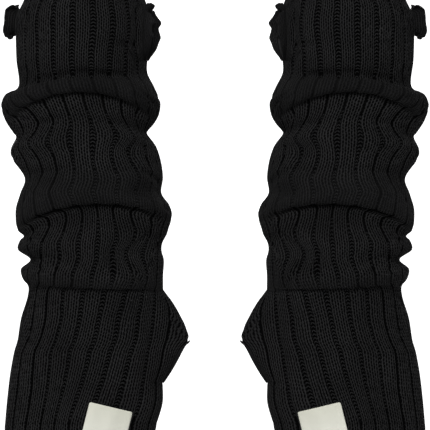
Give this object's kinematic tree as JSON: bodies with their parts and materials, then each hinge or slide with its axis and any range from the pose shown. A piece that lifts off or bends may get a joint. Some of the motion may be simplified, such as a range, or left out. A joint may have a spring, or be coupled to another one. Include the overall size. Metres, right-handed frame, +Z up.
{
  "type": "pair of arm warmers",
  "caption": "Pair of slouched black rib-knit arm warmers, worn form, with bound thumb openings, frilled side openings, ribbed hem bands and a bare cream label.",
  "frame": {"origin": "midway between the two sleeves' axes, 61.5 mm below their upper ends", "axes": "+Z up along the sleeves from the hands to the upper ends, -Y out of the backs of the hands, +X from the sleeve on the picture's left to the one on its right"},
  "size_m": [0.2866, 0.1053, 0.32],
  "materials": {
    "black_yarn": "matt rib-knit yarn",
    "cream_weave": "smooth woven tape"
  },
  "bodies": {
    "root": {"left_tube": "black_yarn", "left_hem_band": "black_yarn", "left_outer_frill": "black_yarn", "left_inner_frill": "black_yarn", "left_thumb_binding": "black_yarn", "left_label": "cream_weave", "right_tube": "black_yarn", "right_hem_band": "black_yarn", "right_outer_frill": "black_yarn", "right_inner_frill": "black_yarn", "right_thumb_binding": "black_yarn", "right_label": "cream_weave"}
  },
  "joints": []
}
